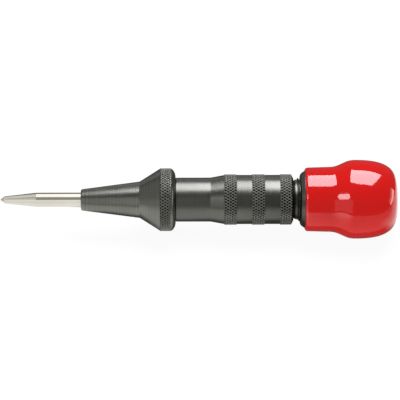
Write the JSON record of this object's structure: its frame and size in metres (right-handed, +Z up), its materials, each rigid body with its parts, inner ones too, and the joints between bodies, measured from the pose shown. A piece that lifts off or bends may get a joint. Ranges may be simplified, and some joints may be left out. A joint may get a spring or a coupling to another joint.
{
  "type": "automatic center punch",
  "caption": "Slim bright steel point in a black stepped nose with a knurled ring, black barrel with knurled bands, bulbous red screw cap; pressing the point cocks and trips a spring hammer.",
  "frame": {"origin": "tip of the point, on the tool's axis", "axes": "+X along the axis from the tip to the cap, +Z up with the tool lying level"},
  "size_m": [0.15, 0.0298, 0.0298],
  "materials": {
    "point_steel": "ground, polished",
    "ground_steel": "turned, oiled",
    "spring_steel": "drawn wire",
    "black_oxide_nose": "fine turned, black oxide",
    "black_oxide_barrel": "knurled, black oxide",
    "black_oxide_cap": "turned, black oxide",
    "red_vinyl": "glossy dipped vinyl"
  },
  "bodies": {
    "barrel": {"barrel": "black_oxide_barrel", "nose_cone": "black_oxide_nose", "return_spring": "spring_steel"},
    "plunger": {"punch_point": "point_steel", "plunger": "ground_steel"},
    "trip_pin": {"trip_pin": "ground_steel"},
    "hammer": {"hammer": "ground_steel"},
    "spring_seat": {"spring_seat": "ground_steel", "main_spring": "spring_steel"},
    "cap": {"cap_core": "black_oxide_cap", "cap_cover": "red_vinyl"}
  },
  "joints": [
    {"name": "point_plunge", "type": "slide", "parent": "barrel", "child": "plunger", "axis": [1, 0, 0], "range_m": [0, 0.01], "stiffness_N_per_m": 2500, "springref_m": -0.008, "deforming": ["return_spring"]},
    {"name": "hammer_cock", "type": "slide", "parent": "barrel", "child": "hammer", "axis": [1, 0, 0], "range_m": [0, 0.01], "deforming": ["main_spring"]},
    {"name": "trip_pin_tilt", "type": "hinge", "parent": "plunger", "child": "trip_pin", "pos_m": [0.0536, 0, 0], "axis": [0, 1, 0], "range_deg": [0, 3]},
    {"name": "cap_turn", "type": "hinge", "parent": "spring_seat", "child": "cap", "pos_m": [0.1195, 0, 0], "axis": [1, 0, 0], "range_deg": [-720, 1440]},
    {"name": "cap_advance", "type": "slide", "parent": "barrel", "child": "spring_seat", "axis": [1, 0, 0], "range_m": [-0.0025, 0.005]}
  ],
  "couplings": [
    {"joint": "hammer_cock", "follows": "point_plunge", "ratio": 1},
    {"joint": "trip_pin_tilt", "follows": "point_plunge", "rad_per_m": 5.2359},
    {"joint": "cap_turn", "follows": "cap_advance", "rad_per_m": 5026.5}
  ]
}
